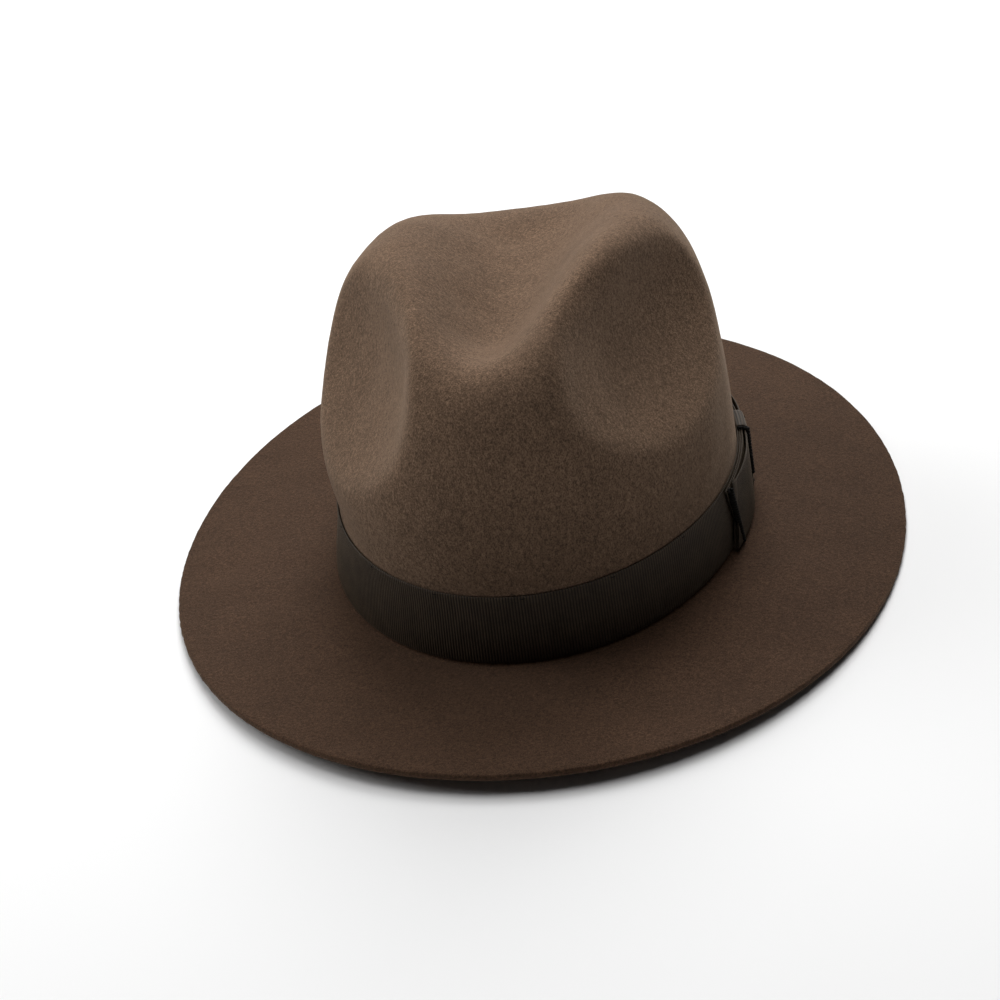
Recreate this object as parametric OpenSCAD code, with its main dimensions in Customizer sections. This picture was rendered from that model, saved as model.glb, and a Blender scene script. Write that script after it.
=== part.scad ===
// A felt fedora: one blocked felt body, a grosgrain band with a flat bow on the
// wearer's left, and a sweatband and lining inside. Millimetres, +Z up. The
// front faces -Y, the wearer's left is +X, and the hat stands on its brim at Z = 0.
//
// Heights inside the functions are measured from the break line, where the
// crown meets the brim. Angles run from the wearer's left (0) to the back (90).

/* [Felt body] */
// Thickness of the felt
felt_t = 2.6; // [2:0.1:3.2]
// Outside width of the crown at the break line
crown_wid = 174; // [162:1:186]
// Outside length of the crown at the break line
crown_len = 208; // [194:1:220]
// Height of the uncreased crown above the break line
crown_h = 132; // [122:1:136]
// Squareness of the crown's profile, the power of its superellipse
crown_power = 5.3; // [4:0.1:6]
// How much the crown's left side leans in at the top, as a fraction of its half width
taper_left = 0.07; // [0.02:0.01:0.08]
// The same on the right side
taper_right = 0.02; // [0:0.01:0.05]
// How far the crown leans back at its top
crown_lean = -6; // [-7:0.5:2]
// How much higher the crown's back edge is than its front edge, halved
back_rise = 4; // [0:0.5:6]
// How much higher the crown's left edge is than its right edge, halved
side_rise = 4.2; // [0:0.2:5]
// How much the uncreased crown bulges up at its middle
dome_bulge = 11; // [6:0.5:12]
// Height of the soft mound on the left edge of the crown's top
side_mound = 4.6; // [0:0.2:6]
// Height of the soft mound towards the back of the same edge
back_mound = 6.5; // [0:0.5:8]
// How far the right side is drawn in near the top of the ribbon
waist_in = 5; // [0:0.5:6]

/* [Brim] */
// Brim width at the sides
brim_side = 67.2; // [50:0.2:76]
// Brim width at the front
brim_front = 75; // [56:0.2:82]
// Brim width at the back
brim_back = 75.6; // [56:0.2:82]
// Height of the break line's top face above the table, on the wearer's right
break_z = 4.6; // [4.2:0.1:9]
// How much the break line rises on the wearer's left
left_rise = 5; // [0:0.5:6]
// How much the front edge lifts off the table
front_lift = 6.8; // [0:0.1:8]
// How much the back edge lifts off the table
back_lift = 4.4; // [0:0.1:8]
// Radius where the crown meets the brim
fillet = 1.4; // [1.2:0.1:4]

/* [Crease and pinches] */
// Depth of the centre crease
crease_depth = 31.5; // [20:0.5:34]
// Half length of the centre crease
crease_len = 80; // [70:1:84]
// How far the crease's middle sits behind the crown's middle
crease_back = 6; // [2:1:12]
// Half width of the crease at its front end
crease_front_w = 36; // [30:1:42]
// Half width of the crease at its back end
crease_back_w = 82; // [70:1:86]
// Steepness of the crease's sides, as the power of its curve across
crease_power = 3.3; // [2.5:0.1:4]
// Depth of a front pinch
pinch_depth = 27.5; // [12:0.5:29]
// Angle from the front to the middle of a pinch
pinch_angle = 59; // [54:1:62]
// Direction in which a pinch is pushed, turned from straight across to straight back
pinch_push = 46; // [40:1:56]
// Height of the middle of a pinch
pinch_z = 106; // [98:1:108]
// Half length of a pinch round the crown
pinch_len = 63.5; // [52:0.5:68]
// How far the left pinch reaches down from its middle
pinch_low_left = 36; // [32:1:44]
// How far the right pinch reaches down from its middle
pinch_low_right = 42; // [34:1:46]
// How far a pinch reaches up from its middle
pinch_high = 34.5; // [30:0.5:42]
// Roundness of a pinch's lip, small when the fold is crisp
pinch_lip = 0.11; // [0.1:0.01:0.25]
// How far the left pinch sits further round, in degrees, and up, in millimetres
pinch_skew = 3.3; // [0:0.1:5]

/* [Ribbon band and bow] */
// Height of the ribbon
band_h = 31.5; // [22:0.5:42]
// Thickness of the ribbon
band_t = 0.8; // [0.5:0.1:1.2]
// Angle at the front end of the bow
bow_front = -13; // [-18:1:-8]
// Angle at the middle of the keeper
bow_mid = 16; // [12:1:20]
// Angle at the back end of the bow
bow_end = 41; // [34:1:46]

/* [Sweatband and lining] */
// Height of the leather sweatband
sweat_h = 34; // [26:1:40]
// Thickness of the leather
sweat_t = 1; // [0.8:0.1:1.2]
// Diameter of the reed
reed_d = 1.5; // [1:0.1:1.8]
// Thickness of the lining cloth
lining_t = 0.5; // [0.3:0.1:0.6]

/* [Hidden] */

round_steps = 72;
half_wid = crown_wid / 2;
half_len = crown_len / 2;
dome_h = crown_h - fillet;
edge_bulge = 0.7;
// where the soft mounds of the crown's top are, and how far they spread
side_mound_at = [49, -22];
side_mound_size = [33, 38];
back_mound_at = [32, 66];
back_mound_size = [22, 35];
// height over the break line where the right side is drawn in most, and how far that spreads
waist_z = 32;
waist_h = 22;
// how the brim's height runs from the bend to the edge, as a power
brim_curve = 1.4;
// how squarely the crease ends at its front and back, as a power
crease_end = 4;
cloth_gap = 0.4;
// depths below the felt's outer face, counted inwards
lining_out = felt_t + cloth_gap;
lining_in = lining_out + lining_t;
sweat_out = lining_in + cloth_gap;
sweat_in = sweat_out + sweat_t;
// depths of the ribbon layers, counted outwards
band_in = 0.2;
band_out = band_in + band_t;
tail_in = band_out + 0.1;
tail_out = tail_in + band_t;
loop_in = tail_out + 0.1;
loop_out = loop_in + 1.8;
keeper_in = loop_out + 0.1;
keeper_out = keeper_in + band_t;
keeper_half = 3.6;
sweat_low = -1;
tape_d = reed_d + 0.9;
piping_d = 1.5;
tip_turn = 58;
stitch_l = 3.4;
tack_l = 2;

felt_colour = "#5a4436";
ribbon_colour = "#2b2620";

// Smooth step from 0 at 0 to 1 at 1
function ease(x) = let (c = min(max(x, 0), 1)) c * c * (3 - 2 * c);

// Outward direction of the crown's oval at angle a
function outward(a) =
    let (n = [cos(a) / half_wid, sin(a) / half_len])
    n / norm(n);

// How far the crown is drawn in at angle a, z above the break line
function waist(a, z) = waist_in * pow((1 - cos(a)) / 2, 2) * exp(-pow((z - waist_z) / waist_h, 2));

// How much narrower the crown's top is on the side at angle a, as a fraction
function taper(a) = cos(a) < 0 ? taper_right : taper_left;

// A round soft mound
function mound(x, y, high, at, size) =
    high * exp(-pow((x - at.x) / size.x, 2) - pow((y - at.y) / size.y, 2));

// Height of the break line at angle a
function break_at(a) = break_z + left_rise * pow((1 + cos(a)) / 2, 2);

// Height h of the way up the crown, z over the break line, which is level at the top
function level(a, h, z) = break_z + (break_at(a) - break_z) * (1 - h) + z;

// Width of the brim at angle a
function brim_width(a) = brim_side + ((sin(a) < 0 ? brim_front : brim_back) - brim_side) * pow(sin(a), 2);

// Brim, d outside the break line: flat at the crown, easing to the edge's height
function brim(a, d) =
    let (reach = max(0, (d - fillet) / (brim_width(a) - fillet)),
         edge = felt_t + (sin(a) < 0 ? front_lift : back_lift) * pow(sin(a), 2),
         n = outward(a))
    [half_wid * cos(a) + d * n.x,
     half_len * sin(a) + d * n.y,
     break_at(a) + (edge - break_at(a)) * pow(reach, brim_curve)];

// Bend between brim and crown, turned 0 at the brim and 90 at the wall
function bend(a, turn) =
    let (d = fillet * (1 - sin(turn)), n = outward(a))
    [half_wid * cos(a) + d * n.x,
     half_len * sin(a) + d * n.y,
     break_at(a) + fillet * (1 - cos(turn))];

// How far a pinch pushes a point of the open crown inwards. side is 1 for the
// wearer's left and -1 for the right
function pinch(side, x, y, rise) =
    let (from_front = atan2(side * x / half_wid, -y / half_len),
         reach = norm([x / half_wid, y / half_len]),
         along = (from_front - pinch_angle - side * pinch_skew) * PI / 180 * half_len * reach,
         above = rise - pinch_z - side * pinch_skew,
         half = above > 0 ? pinch_high : side > 0 ? pinch_low_left : pinch_low_right,
         inside = 1 - pow(along / pinch_len, 2) - pow(above / half, 2),
         bowl = pinch_lip * ln(1 + exp(inside / pinch_lip)))
    pinch_depth * bowl * ease((reach - 0.15) / 0.6) / (1 + exp((2 - from_front) / 4));

// Crown, turned 0 at the foot of the wall and 90 at the middle of the top
function crown(a, turn) =
    let (long = pow(pow(cos(turn), crown_power) + pow(sin(turn), crown_power), -1 / crown_power),
         r = long * cos(turn),
         h = long * sin(turn),
         x = half_wid * r * cos(a) * (1 - taper(a) * h),
         y = half_len * r * sin(a) + crown_lean * h,
         higher = back_rise * r * sin(a) + side_rise * r * cos(a) + dome_bulge * (1 - r * r),
         mounds = mound(x, y, side_mound, side_mound_at, side_mound_size)
                + mound(x, y, back_mound, back_mound_at, back_mound_size),
         z = h * (dome_h + higher + h * mounds),
         along = (y - crease_back) / crease_len,
         half = crease_front_w + (crease_back_w - crease_front_w) * min(max((along + 1) / 2, 0), 1),
         across = pow(max(0, 1 - pow(x / half, 2)), crease_power),
         crease = exp(-pow(along, crease_end)) * across * ease((h - 0.4) / 0.6),
         tight = waist(a, z) * r,
         n = outward(a),
         in_x = x - tight * n.x,
         in_y = y - tight * n.y,
         left = pinch(1, in_x, in_y, z),
         right = pinch(-1, in_x, in_y, z))
    [in_x - (left - right) * cos(pinch_push),
     in_y + (left + right) * sin(pinch_push),
     level(a, h, fillet + z) - crease_depth * crease];

// The felt's outer face: v is 0 to 1 on the brim, to 2 on the bend, to 3 on the crown
function skin(a, v) =
    v < 1 ? brim(a, brim_width(a) + (fillet - brim_width(a)) * v)
    : v < 2 ? bend(a, (v - 1) * 90)
    : crown(a, (v - 2) * 90);

// The same face moved inwards by depth, square to itself
function deep_skin(a, v, depth) =
    let (e = 0.004,
         across = skin(a + 0.5, v) - skin(a - 0.5, v),
         up = skin(a, min(v + e, 2.999)) - skin(a, v - e),
         n = cross(across, up))
    skin(a, v) - depth * n / norm(n);

// A point on the crown's wall at height z, moved outwards by out
function wall(a, z, out) =
    let (h = max(0, z - fillet) / (dome_h + back_rise * sin(a) + side_rise * cos(a)),
         away = out - waist(a, z),
         n = outward(a))
    [half_wid * cos(a) * (1 - taper(a) * h) + away * n.x,
     half_len * sin(a) + crown_lean * h + away * n.y,
     level(a, h, z)];

// The value of v at which the crown reaches height z above the break line
function v_at(z) = 2 + atan((z - fillet) / dome_h) / 90;

function angle_at(k) = 360 * k / round_steps;

function mean(points) = [for (axis = [0:2]) [for (p = points) p[axis]] * [for (p = points) 1]] / len(points);

// Faces that join row r of a ring grid to the next row
function strip(r, steps, first = 0) = [
    for (k = [0:steps - 1])
        let (a = first + r * steps + k,
             b = first + r * steps + (k + 1) % steps,
             c = b + steps,
             d = a + steps)
        each [[a, d, c], [a, c, b]]
];

// Closed body from rings of points that run round the oval, each ring joined
// to the next and the last to the first
module ring_body(rings) {
    steps = len(rings[0]);
    count = len(rings);
    points = [for (ring = rings) each ring];
    total = count * steps;
    faces = [for (r = [0:count - 1]) each strip(r, steps)];
    polyhedron(points, [for (f = faces) [for (i = f) i % total]], convexity = 6);
}

// Closed dome of cloth or felt between two depths, from the first row of v to
// the crown's middle. The open edge may have a rounded nose of one more ring
module dome_body(rows, out_depth, in_depth, bulge = 0) {
    steps = round_steps;
    outer = [for (v = rows) [for (k = [0:steps - 1]) deep_skin(angle_at(k), v, out_depth)]];
    inner = [for (v = rows) [for (k = [0:steps - 1]) deep_skin(angle_at(k), v, in_depth)]];
    nose = bulge == 0 ? [] : [[
        for (k = [0:steps - 1])
            let (n = outward(angle_at(k)))
            (outer[0][k] + inner[0][k]) / 2 + bulge * [n.x, n.y, 0]
    ]];
    reversed = [for (r = [len(rows) - 1:-1:0]) inner[r]];
    rings = concat(reversed, nose, outer);
    last = (len(rings) - 1) * steps;
    poles = [mean(reversed[0]), mean(outer[len(rows) - 1])];
    low_pole = len(rings) * steps;
    points = concat([for (ring = rings) each ring], poles);
    sides = [for (r = [0:len(rings) - 2]) each strip(r, steps)];
    caps = [
        for (k = [0:steps - 1])
            let (next = (k + 1) % steps)
            each [[next, low_pole, k], [last + k, low_pole + 1, last + next]]
    ];
    polyhedron(points, concat(sides, caps), convexity = 8);
}

// Closed ring of cloth between two depths of the felt's outer face
module skin_ring(rows, out_depth, in_depth) {
    steps = round_steps;
    outer = [for (v = rows) [for (k = [0:steps - 1]) deep_skin(angle_at(k), v, out_depth)]];
    inner = [for (v = rows) [for (k = [0:steps - 1]) deep_skin(angle_at(k), v, in_depth)]];
    ring_body(concat(outer, [for (r = [len(rows) - 1:-1:0]) inner[r]]));
}

// Closed ring on the crown's wall between two heights and two outward offsets
module wall_ring(low, high, from, to) {
    heights = [low, (low + high) / 2, high];
    outer = [for (z = heights) [for (k = [0:round_steps - 1]) wall(angle_at(k), z, to)]];
    inner = [for (z = heights) [for (k = [0:round_steps - 1]) wall(angle_at(k), z, from)]];
    ring_body([outer[0], outer[1], outer[2], inner[2], inner[1], inner[0]]);
}

// Plate on the crown's wall between two angles, two heights and two offsets.
// Its sections run along the wall, and each is a four-sided outline
module wall_plate(start, end, low, high, from, to) {
    steps = max(2, ceil(abs(end - start) / 5));
    angles = [for (k = [0:steps]) start + (end - start) * k / steps];
    points = [
        for (a = angles)
            each [wall(a, low, from), wall(a, low, to), wall(a, high, to), wall(a, high, from)]
    ];
    sides = [
        for (k = [0:steps - 1], s = [0:3])
            let (a = 4 * k + s, b = 4 * k + (s + 1) % 4)
            each [[a, b, b + 4], [a, b + 4, a + 4]]
    ];
    n = 4 * steps;
    ends = [[0, 3, 2], [0, 2, 1], [n, n + 1, n + 2], [n, n + 2, n + 3]];
    polyhedron(points, concat(sides, ends), convexity = 4);
}

// Tube round the oval, with its centre line given by a list of points
module oval_tube(centres, radius, bore = 0, sides = 6) {
    steps = len(centres);
    around = function (r, s) [
        for (k = [0:steps - 1])
            let (n = outward(angle_at(k)), t = 360 * s / sides)
            centres[k] + r * [n.x * cos(t), n.y * cos(t), sin(t)]
    ];
    module skin_of(r) {
        ring_body([for (s = [0:sides - 1]) around(r, s)]);
    }
    if (bore > 0) {
        difference() {
            skin_of(radius);
            skin_of(bore);
        }
    } else {
        skin_of(radius);
    }
}

// Small bar laid flat on one facet of the wall, for a stitch or a tack
module bar_on_wall(facet, z, out, size) {
    left = wall(angle_at(facet), z, out);
    right = wall(angle_at(facet + 1), z, out);
    middle = (left + right) / 2;
    turn = atan2(right.y - left.y, right.x - left.x);
    translate(middle) rotate([0, 0, turn]) translate([-size.x / 2, -size.y, -size.z / 2]) cube(size);
}

module felt_body() {
    brim_rows = [0, 0.12, 0.3, 0.5, 0.7, 0.87];
    bend_rows = [1, 1.33, 1.67];
    crown_rows = [for (k = [0:24]) 2 + 0.985 * k / 24];
    color(felt_colour) dome_body(concat(brim_rows, bend_rows, crown_rows), 0, felt_t, edge_bulge);
}

module ribbon_band() {
    color(ribbon_colour) wall_ring(fillet, fillet + band_h, band_in, band_out);
}

module band_tacks() {
    color("#1d1a16")
        for (facet = [15:9:69])
            bar_on_wall(facet, fillet + band_h - 1.2, band_out + 0.45, [tack_l, 0.4, 0.4]);
}

module bow_tail() {
    color(ribbon_colour) wall_plate(bow_front, bow_end, fillet, fillet + band_h, tail_in, tail_out);
}

module bow_loop_front() {
    color(ribbon_colour)
        wall_plate(bow_front + 0.6, bow_mid - 0.3, fillet, fillet + band_h, loop_in, loop_out);
}

module bow_loop_back() {
    color(ribbon_colour)
        wall_plate(bow_mid + 0.3, bow_end - 0.6, fillet, fillet + band_h, loop_in, loop_out);
}

module bow_keeper() {
    color(ribbon_colour)
        wall_plate(bow_mid - keeper_half, bow_mid + keeper_half, fillet - 0.3, fillet + band_h + 0.8,
                   keeper_in, keeper_out);
}

module bow_tacks() {
    color("#1d1a16")
        for (facet = [-2, 7], z = [fillet + 2, fillet + band_h - 2])
            bar_on_wall(facet, z, loop_out + 0.5, [tack_l, 0.4, 0.4]);
}

module sweatband() {
    color("#6b4a30") wall_ring(sweat_low, sweat_low + sweat_h, -sweat_in, -sweat_out);
}

module sweatband_reed() {
    z = sweat_low - tape_d / 2 - 0.1;
    depth = (sweat_in + sweat_out) / 2;
    color("#e8e2d0")
        oval_tube([for (k = [0:round_steps - 1]) wall(angle_at(k), z, -depth)], reed_d / 2);
}

module reed_tape() {
    z = sweat_low - tape_d / 2 - 0.1;
    depth = (sweat_in + sweat_out) / 2;
    color("#2f2a26")
        oval_tube([for (k = [0:round_steps - 1]) wall(angle_at(k), z, -depth)],
                  tape_d / 2, reed_d / 2 + 0.1);
}

module sweatband_stitches() {
    color("#c9b48a")
        for (facet = [0:round_steps - 1])
            bar_on_wall(facet, sweat_low + 3, -sweat_in - 0.05, [stitch_l, 0.35, 0.5]);
}

module sweatband_seam() {
    color("#5a3d27")
        wall_plate(87.5, 92.5, sweat_low + 5, sweat_low + sweat_h - 1, -sweat_in - 0.7, -sweat_in - 0.1);
}

module sweatband_bow() {
    low = sweat_low + 6;
    color(ribbon_colour) {
        wall_plate(83, 88.9, low, low + 6, -sweat_in - 1.8, -sweat_in - 0.8);
        wall_plate(91.1, 97, low, low + 6, -sweat_in - 1.8, -sweat_in - 0.8);
        wall_plate(89, 91, low + 0.5, low + 5.5, -sweat_in - 2.2, -sweat_in - 0.8);
    }
}

module lining_side() {
    first = v_at(sweat_low + sweat_h - 8);
    last = 2 + (tip_turn - 1.2) / 90;
    color("#3a3230") skin_ring([for (k = [0:9]) first + (last - first) * k / 9], lining_out, lining_in);
}

module lining_tip() {
    first = 2 + tip_turn / 90;
    color("#3a3230") dome_body([for (k = [0:7]) first + (2.985 - first) * k / 7], lining_out, lining_in);
}

module lining_piping() {
    v = 2 + (tip_turn - 0.6) / 90;
    depth = lining_in + 0.2 + piping_d / 2;
    color("#1f1b1a")
        oval_tube([for (k = [0:round_steps - 1]) deep_skin(angle_at(k), v, depth)], piping_d / 2);
}

module size_tag() {
    color("#efe9dc") wall_plate(72, 80, sweat_low + 12, sweat_low + 24, -sweat_in - 0.6, -sweat_in - 0.1);
}

felt_body();
ribbon_band();
band_tacks();
bow_tail();
bow_loop_front();
bow_loop_back();
bow_keeper();
bow_tacks();
sweatband();
sweatband_reed();
reed_tape();
sweatband_stitches();
sweatband_seam();
sweatband_bow();
lining_side();
lining_tip();
lining_piping();
size_tag();
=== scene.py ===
"""The looks of a felt fedora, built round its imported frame.

The felt, ribbon, leather and lining are meshed here from the same shapes as the
part's solids, finely enough for their folds, ribs and stitches. Sizes are in
millimetres until a mesh is made, and Blender's are in metres. Angles run round
the hat from the wearer's left (+X, 0) to the back (+Y, 90 degrees).
"""

import math

import bpy
import numpy as np
from mathutils import Matrix, Vector


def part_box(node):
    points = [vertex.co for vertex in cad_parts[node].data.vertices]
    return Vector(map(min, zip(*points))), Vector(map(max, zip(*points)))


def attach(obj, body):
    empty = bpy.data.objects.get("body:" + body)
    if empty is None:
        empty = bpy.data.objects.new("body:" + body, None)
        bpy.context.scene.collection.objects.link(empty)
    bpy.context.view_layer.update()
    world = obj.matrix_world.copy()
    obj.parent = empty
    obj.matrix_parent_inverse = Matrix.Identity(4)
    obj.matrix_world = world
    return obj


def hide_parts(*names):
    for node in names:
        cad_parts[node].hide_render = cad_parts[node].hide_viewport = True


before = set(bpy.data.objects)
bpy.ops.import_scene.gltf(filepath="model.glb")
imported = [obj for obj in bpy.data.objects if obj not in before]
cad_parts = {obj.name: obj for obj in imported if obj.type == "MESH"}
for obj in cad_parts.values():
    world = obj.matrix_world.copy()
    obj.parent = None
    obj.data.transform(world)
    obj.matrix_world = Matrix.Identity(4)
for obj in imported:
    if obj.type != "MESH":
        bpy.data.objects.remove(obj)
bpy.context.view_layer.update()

MM = 0.001


def box_mm(node):
    """The lowest and highest corners of a CAD node, in millimetres."""
    low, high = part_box(node)
    return np.array(low) / MM, np.array(high) / MM


# ---------------------------------------------------------------- sizes
# Read from the frame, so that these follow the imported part
felt_low, felt_high = box_mm("felt_body")
band_low, band_high = box_mm("ribbon_band")

FELT = 2.6  # thickness of the felt
EDGE_BULGE = 0.7  # how far the brim's cut edge bulges
FILLET = 1.4  # radius where the crown meets the brim
BAND_IN = 0.2  # from the felt to the ribbon
RIBBON = 0.8  # thickness of the ribbon
BAND_OUT = BAND_IN + RIBBON

HALF_WID = band_high[0] - BAND_OUT
HALF_LEN = band_high[1] - BAND_OUT
BRIM_SIDE = felt_high[0] - HALF_WID - EDGE_BULGE
BRIM_FRONT = -felt_low[1] - HALF_LEN - EDGE_BULGE
BRIM_BACK = felt_high[1] - HALF_LEN - EDGE_BULGE
BREAK_Z = band_low[2] - FILLET
BAND_H = 31.5  # width of the ribbon
LEFT_RISE = 5  # how much the break line rises on the wearer's left
FRONT_LIFT = 6.8  # how far the brim's front edge lifts off the table
BACK_LIFT = 4.4

# The crown's shape, as in the part's source
CROWN_H = 132
CROWN_POWER = 5.3
TAPER_LEFT = 0.07
TAPER_RIGHT = 0.02
CROWN_LEAN = -6
BACK_RISE = 4
SIDE_RISE = 4.2
DOME_BULGE = 11
# Soft mounds of the crown's top: height, middle, spread
SIDE_MOUND = 4.6, (49, -22), (33, 38)
BACK_MOUND = 6.5, (32, 66), (22, 35)
DOME_H = CROWN_H - FILLET
WAIST = 5
WAIST_Z = 32
WAIST_H = 22

CREASE_DEPTH = 31.5
CREASE_LEN = 80
CREASE_BACK = 6
CREASE_FRONT_W = 36
CREASE_BACK_W = 82
CREASE_POWER = 3.3

PINCH_DEPTH = 27.5
PINCH_ANGLE = 59
PINCH_PUSH = 46
PINCH_Z = 106
PINCH_LEN = 63.5
PINCH_LOW_LEFT = 36
PINCH_LOW_RIGHT = 42
PINCH_HIGH = 34.5
PINCH_LIP = 0.11
PINCH_SKEW = 3.3

# Depths below the felt's outer face
GAP = 0.4
LINING = 0.5
LINING_OUT = FELT + GAP
LINING_IN = LINING_OUT + LINING
SWEAT_OUT = LINING_IN + GAP
LEATHER = 1.0
SWEAT_IN = SWEAT_OUT + LEATHER

SEED = 7


# ---------------------------------------------------------------- the hat's surface
def ease(x):
    """Smooth step from 0 at 0 to 1 at 1."""
    c = np.clip(x, 0, 1)
    return c * c * (3 - 2 * c)


def unit(v):
    """The same directions, each 1 long."""
    return v / np.linalg.norm(v, axis=-1, keepdims=True)


def outward(a):
    """Outward direction of the crown's oval at angle a."""
    return unit(np.stack([np.cos(a) / HALF_WID, np.sin(a) / HALF_LEN], -1))


def oval(a, out=0.0):
    """The break line's oval at angle a, moved outwards."""
    n = outward(a)
    return HALF_WID * np.cos(a) + out * n[..., 0], HALF_LEN * np.sin(a) + out * n[..., 1]


def stack(*parts):
    """Three arrays of any shapes that fit together, as one array of points."""
    return np.stack(np.broadcast_arrays(*parts), -1)


def waist(a, z):
    """How far the ribbon draws the sides of the crown in at height z over the break line."""
    return WAIST * ((1 - np.cos(a)) / 2) ** 2 * np.exp(-(((z - WAIST_Z) / WAIST_H) ** 2))


def taper(a):
    """How much narrower the crown's top is on the side at angle a, as a fraction."""
    return np.where(np.cos(a) < 0, TAPER_RIGHT, TAPER_LEFT)


def mound(x, y, high, at, size):
    """A round soft mound."""
    return high * np.exp(-(((x - at[0]) / size[0]) ** 2) - ((y - at[1]) / size[1]) ** 2)


def break_at(a):
    """Height of the break line at angle a."""
    return BREAK_Z + LEFT_RISE * ((1 + np.cos(a)) / 2) ** 2


def level(a, h, z):
    """Height h of the way up the crown, z over the break line, which is level at the top."""
    return BREAK_Z + (break_at(a) - BREAK_Z) * (1 - h) + z


def brim(a, reach):
    """The brim's top face: reach is 0 at the bend and 1 at the edge."""
    end = np.where(np.sin(a) < 0, BRIM_FRONT, BRIM_BACK)
    lift = np.where(np.sin(a) < 0, FRONT_LIFT, BACK_LIFT)
    width = BRIM_SIDE + (end - BRIM_SIDE) * np.sin(a) ** 2
    edge = FELT + lift * np.sin(a) ** 2
    x, y = oval(a, FILLET + (width - FILLET) * reach)
    return stack(x, y, break_at(a) + (edge - break_at(a)) * reach**1.4)


def bend(a, turn):
    """The curve from brim (turn 0) to wall (a quarter turn)."""
    x, y = oval(a, FILLET * (1 - np.sin(turn)))
    return stack(x, y, break_at(a) + FILLET * (1 - np.cos(turn)))


def pinch(side, x, y, rise):
    """How far a front pinch pushes a point of the open crown inwards."""
    from_front = np.degrees(np.arctan2(side * x / HALF_WID, -y / HALF_LEN))
    reach = np.hypot(x / HALF_WID, y / HALF_LEN)
    turned = np.radians(from_front - PINCH_ANGLE - side * PINCH_SKEW)
    along = turned * HALF_LEN * reach
    above = rise - PINCH_Z - side * PINCH_SKEW
    half = np.where(above < 0, PINCH_LOW_LEFT if side > 0 else PINCH_LOW_RIGHT, PINCH_HIGH)
    inside = 1 - (along / PINCH_LEN) ** 2 - (above / half) ** 2
    bowl = PINCH_LIP * np.logaddexp(0, np.clip(inside / PINCH_LIP, -60, 60))
    at_front = 1 / (1 + np.exp(np.clip((2 - from_front) / 4, -50, 50)))
    return PINCH_DEPTH * bowl * ease((reach - 0.15) / 0.6) * at_front


def crown(a, turn):
    """The crown, from the foot of the wall (turn 0) to the middle of the top."""
    c, s = np.maximum(np.cos(turn), 0), np.maximum(np.sin(turn), 0)
    long = (c**CROWN_POWER + s**CROWN_POWER) ** (-1 / CROWN_POWER)
    r, h = long * c, long * s
    x = HALF_WID * r * np.cos(a) * (1 - taper(a) * h)
    y = HALF_LEN * r * np.sin(a) + CROWN_LEAN * h
    higher = BACK_RISE * r * np.sin(a) + SIDE_RISE * r * np.cos(a) + DOME_BULGE * (1 - r * r)
    mounds = mound(x, y, *SIDE_MOUND) + mound(x, y, *BACK_MOUND)
    z = h * (DOME_H + higher + h * mounds)
    along = (y - CREASE_BACK) / CREASE_LEN
    wider = np.clip((along + 1) / 2, 0, 1)
    half = CREASE_FRONT_W + (CREASE_BACK_W - CREASE_FRONT_W) * wider
    across = np.maximum(0, 1 - (x / half) ** 2) ** CREASE_POWER
    crease = np.exp(-(along**4)) * across * ease((h - 0.4) / 0.6)
    tight, n = waist(a, z) * r, outward(a)
    x, y = x - tight * n[..., 0], y - tight * n[..., 1]
    left, right = pinch(1, x, y, z), pinch(-1, x, y, z)
    push = math.radians(PINCH_PUSH)
    return stack(
        x - (left - right) * math.cos(push),
        y + (left + right) * math.sin(push),
        level(a, h, FILLET + z) - CREASE_DEPTH * crease,
    )


def skin(a, v):
    """The felt's outer face: v is 0 to 1 on the brim, to 2 on the bend, to 3 on the crown."""
    a, v = np.broadcast_arrays(a, v)
    quarter = math.pi / 2
    on_brim = brim(a, 1 - np.clip(v, 0, 1))
    on_bend = bend(a, np.clip(v - 1, 0, 1) * quarter)
    on_crown = crown(a, np.clip(v - 2, 0, 1) * quarter)
    return np.where((v < 1)[..., None], on_brim, np.where((v < 2)[..., None], on_bend, on_crown))


def normal(a, v):
    """Outward direction of the felt's outer face."""
    e, turn = 0.004, math.radians(0.5)
    around = skin(a + turn, v) - skin(a - turn, v)
    up = skin(a, np.minimum(v + e, 2.999)) - skin(a, np.maximum(v - e, 0))
    return unit(np.cross(around, up))


def wall(a, z, out):
    """A point on the crown's wall at height z over the break line, moved outwards."""
    h = np.maximum(0, z - FILLET) / (DOME_H + BACK_RISE * np.sin(a) + SIDE_RISE * np.cos(a))
    n = outward(a)
    away = out - waist(a, z)
    x = HALF_WID * np.cos(a) * (1 - taper(a) * h) + away * n[..., 0]
    y = HALF_LEN * np.sin(a) + CROWN_LEAN * h + away * n[..., 1]
    return stack(x, y, level(a, h, z))


def v_at(z):
    """The value of v at which the crown reaches height z over the break line."""
    return 2 + math.atan((z - FILLET) / DOME_H) * 2 / math.pi


fine = np.linspace(-math.pi, 3 * math.pi, 8001)
steps = np.hypot(*(np.diff(c) for c in oval(fine)))
lengths = np.concatenate([[0], np.cumsum(steps)])
lengths -= np.interp(0, fine, lengths)
ROUND = np.interp(2 * math.pi, fine, lengths)


def arc_at(a):
    """The length round the break line from angle 0 to angle a."""
    return np.interp(a, fine, lengths)


def angle_at(arc):
    """The angle at a length round the break line."""
    return np.interp(arc, lengths, fine)


def waves(points, length, seed):
    """A smooth random field over points, from about -1 to 1, with waves about length long."""
    rng = np.random.default_rng(seed)
    count = 24
    ways = unit(rng.normal(size=(count, 3)))
    ways *= (2 * math.pi * rng.uniform(0.7, 1.4, count) / length)[:, None]
    turns = points @ ways.T + rng.uniform(0, 2 * math.pi, count)
    return np.cos(turns).sum(-1) / math.sqrt(2 * count)


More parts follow.
